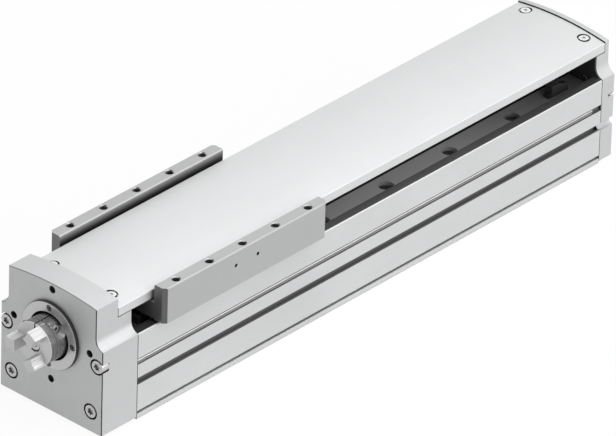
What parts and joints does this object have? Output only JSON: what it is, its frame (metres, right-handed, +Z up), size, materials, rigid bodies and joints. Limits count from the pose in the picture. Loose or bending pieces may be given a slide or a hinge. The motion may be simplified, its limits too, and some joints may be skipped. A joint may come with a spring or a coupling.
{
  "type": "ball screw linear axis",
  "caption": "Ball screw linear axis: extruded base profile with arched cover, end caps, guided carriage with threaded side bars and a claw coupling hub on the spindle.",
  "frame": {"origin": "middle of the base profile's underside, on the centre plane", "axes": "+X along the stroke from the drive cap to the far cap, +Z up out of the mounting face, -Y the side seen in the picture"},
  "size_m": [0.6721, 0.1318, 0.1251],
  "materials": {
    "aluminium": "fine milled and clear anodised",
    "anodised": "satin clear anodised extrusion",
    "steel": "ground and zinc plated",
    "plastic": "moulded",
    "rubber": "matt"
  },
  "bodies": {
    "base": {"base_profile": "anodised", "slot_strips": "plastic", "guide_rail_left": "steel", "guide_rail_right": "steel", "rail_screws": "steel", "drive_end_cap": "aluminium", "drive_cap_screws": "steel", "rear_end_cap": "aluminium", "rear_cap_screws": "steel", "cover_plate": "anodised", "cover_screws": "steel", "bearing_retainer": "steel", "retainer_screws": "steel", "fixed_bearing_outer": "steel", "rear_bearing_outer": "steel", "end_stops_front": "plastic", "end_stops_rear": "plastic", "stop_screws": "steel", "stop_pads_front": "rubber", "stop_pads_rear": "rubber"},
    "carriage_body": {"carriage": "anodised", "runner_block_front": "steel", "runner_block_rear": "steel", "runner_end_caps": "plastic", "runner_screws": "steel", "ball_nut": "steel", "nut_screws": "steel", "nut_carrier": "aluminium", "carrier_screws": "steel"},
    "spindle_body": {"ball_screw_spindle": "steel", "fixed_bearing_inner": "steel", "bearing_lock_nut": "steel", "rear_bearing_inner": "steel", "coupling_hub": "aluminium", "hub_clamp_screw": "steel", "hub_centre_screw": "steel"}
  },
  "joints": [
    {"name": "carriage_slide", "type": "slide", "parent": "base", "child": "carriage_body", "axis": [1, 0, 0], "range_m": [-0.004, 0.3396]},
    {"name": "spindle_turn", "type": "hinge", "parent": "base", "child": "spindle_body", "pos_m": [0, 0, 0.0765], "axis": [1, 0, 0], "range_deg": [-6120, 90]}
  ],
  "couplings": [
    {"joint": "spindle_turn", "follows": "carriage_slide", "rad_per_m": -314.16}
  ]
}
